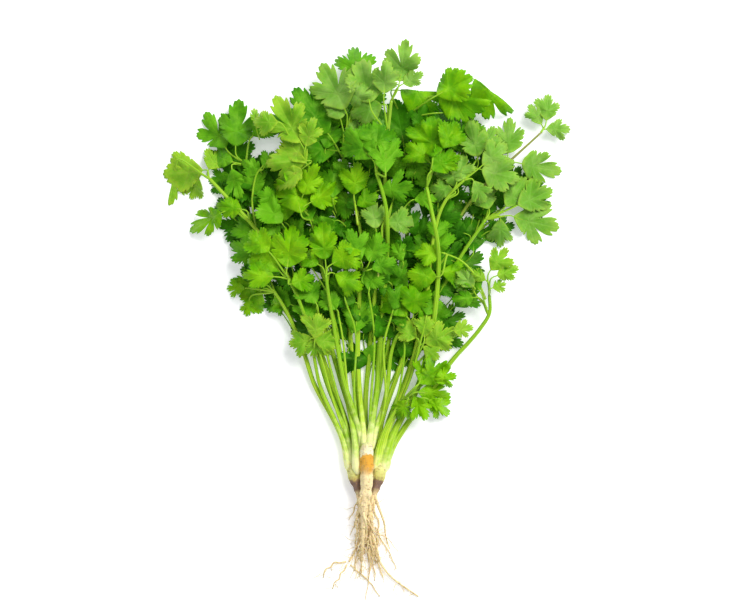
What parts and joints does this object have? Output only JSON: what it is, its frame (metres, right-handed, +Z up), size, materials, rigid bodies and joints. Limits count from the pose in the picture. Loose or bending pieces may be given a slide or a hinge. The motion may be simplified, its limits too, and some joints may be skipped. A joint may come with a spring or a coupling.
{
  "type": "coriander bunch",
  "caption": "Bunch of fresh coriander lying on its side, with lobed green leaves on thin stalks and tapering tan roots.",
  "frame": {"origin": "centre of the bunch's box on the surface it lies on", "axes": "+Y from the root tips to the leaf tips, +Z up off the surface, +X to the right seen from above with the leaves away from the viewer"},
  "size_m": [0.2204, 0.2998, 0.0368],
  "materials": {
    "leaf_bright": "satin upper side of a fresh leaf",
    "leaf_mid": "satin upper side of a grown leaf",
    "leaf_dark": "satin upper side of an old leaf deep in the bunch",
    "leaf_pale": "matte, paler underside turned up",
    "leaf_young": "satin yellow-green young leaf",
    "stalk": "smooth juicy stalk, finely ribbed, paler at its foot",
    "taproot": "dull tan skin with a cream collar and brown cross cracks",
    "rootlet": "dull tan thread"
  },
  "bodies": {
    "root": {"leaf_back_1": "leaf_pale", "leaf_back_2": "leaf_pale", "leaf_back_3": "leaf_pale", "leaf_back_4": "leaf_mid", "leaf_back_5": "leaf_bright", "leaf_back_6": "leaf_bright", "leaf_back_7": "leaf_dark", "leaf_front_1": "leaf_mid", "leaf_front_2": "leaf_mid", "leaf_front_3": "leaf_young", "leaf_front_4": "leaf_bright", "leaf_front_5": "leaf_bright", "leaf_left_1": "leaf_young", "leaf_left_10": "leaf_young", "leaf_left_2": "leaf_bright", "leaf_left_3": "leaf_dark", "leaf_left_4": "leaf_mid", "leaf_left_5": "leaf_dark", "leaf_left_6": "leaf_young", "leaf_left_7": "leaf_bright", "leaf_left_8": "leaf_bright", "leaf_left_9": "leaf_bright", "leaf_right_1": "leaf_pale", "leaf_right_10": "leaf_bright", "leaf_right_2": "leaf_pale", "leaf_right_3": "leaf_pale", "leaf_right_4": "leaf_pale", "leaf_right_5": "leaf_pale", "leaf_right_6": "leaf_pale", "leaf_right_7": "leaf_bright", "leaf_right_8": "leaf_young", "leaf_right_9": "leaf_mid", "root_back": "taproot", "root_front": "taproot", "root_left": "taproot", "root_right": "taproot", "rootlet_1": "rootlet", "rootlet_2": "rootlet", "rootlet_3": "rootlet", "rootlet_4": "rootlet", "stalk_back_1": "stalk", "stalk_back_2": "stalk", "stalk_back_3": "stalk", "stalk_front_1": "stalk", "stalk_front_2": "stalk", "stalk_front_3": "stalk", "stalk_front_4": "stalk", "stalk_left_1": "stalk", "stalk_left_2": "stalk", "stalk_left_3": "stalk", "stalk_left_4": "stalk", "stalk_left_5": "stalk", "stalk_left_6": "stalk", "stalk_right_1": "stalk", "stalk_right_2": "stalk", "stalk_right_3": "stalk", "stalk_right_4": "stalk", "stalk_right_5": "stalk", "stalk_right_6": "stalk"}
  },
  "joints": []
}
